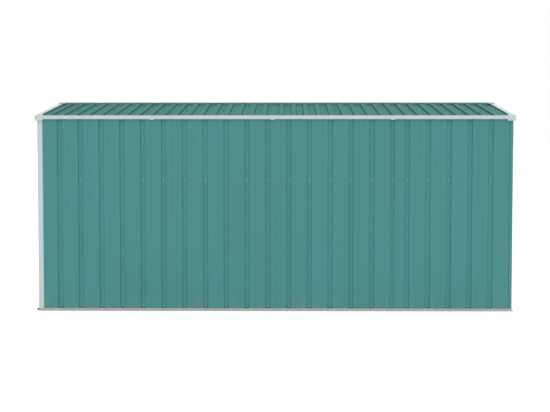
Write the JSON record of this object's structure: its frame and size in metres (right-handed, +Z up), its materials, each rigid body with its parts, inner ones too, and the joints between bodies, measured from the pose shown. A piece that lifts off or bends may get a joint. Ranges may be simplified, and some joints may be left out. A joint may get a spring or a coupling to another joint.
{
  "type": "lean-to metal storage shed",
  "caption": "Low rectangular storage shed of grooved sheet steel with a ribbed single-pitch roof, pale edge trims, a galvanised frame and a pair of hinged doors in one end.",
  "frame": {"origin": "on the ground, at the centre of the overall box", "axes": "+X along the length from the door end to the blind end, +Y across from the low eave to the high edge, +Z up"},
  "size_m": [3.82, 1.18, 1.69],
  "materials": {
    "wall_sheet": "satin green coating on folded galvanised sheet",
    "roof_sheet": "satin green coating on ribbed galvanised sheet",
    "pale_trim": "light grey-white coating, satin",
    "galvanised": "bare zinc-coated steel, dull spangle",
    "black_plastic": "moulded, matt"
  },
  "bodies": {
    "root": {"low_wall_panel_1": "wall_sheet", "low_wall_panel_2": "wall_sheet", "low_wall_panel_3": "wall_sheet", "low_wall_panel_4": "wall_sheet", "low_wall_panel_5": "wall_sheet", "high_wall_panel_1": "wall_sheet", "high_wall_panel_2": "wall_sheet", "high_wall_panel_3": "wall_sheet", "high_wall_panel_4": "wall_sheet", "high_wall_panel_5": "wall_sheet", "blind_end_panel_1": "wall_sheet", "blind_end_panel_2": "wall_sheet", "door_head_panel": "wall_sheet", "low_base_rail": "galvanised", "high_base_rail": "galvanised", "door_end_base_rail": "galvanised", "blind_end_base_rail": "galvanised", "low_top_rail": "galvanised", "high_top_rail": "galvanised", "mid_rails": "galvanised", "corner_posts": "galvanised", "wall_posts": "galvanised", "end_rafters": "galvanised", "roof_rafters": "galvanised", "roof_purlins": "galvanised", "roof_panel_1": "roof_sheet", "roof_panel_2": "roof_sheet", "roof_panel_3": "roof_sheet", "roof_panel_4": "roof_sheet", "eave_trim": "pale_trim", "high_trim": "pale_trim", "door_end_roof_trim": "pale_trim", "blind_end_roof_trim": "pale_trim", "roof_corner_caps": "pale_trim", "trim_clips": "pale_trim", "low_corner_trim": "pale_trim", "high_corner_trim": "pale_trim", "door_frame": "pale_trim", "low_leaf_panel": "wall_sheet", "low_leaf_frame": "pale_trim", "high_leaf_panel": "wall_sheet", "high_leaf_frame": "pale_trim", "door_hinges": "galvanised", "door_handles": "black_plastic", "door_pivots": "black_plastic"}
  },
  "joints": []
}
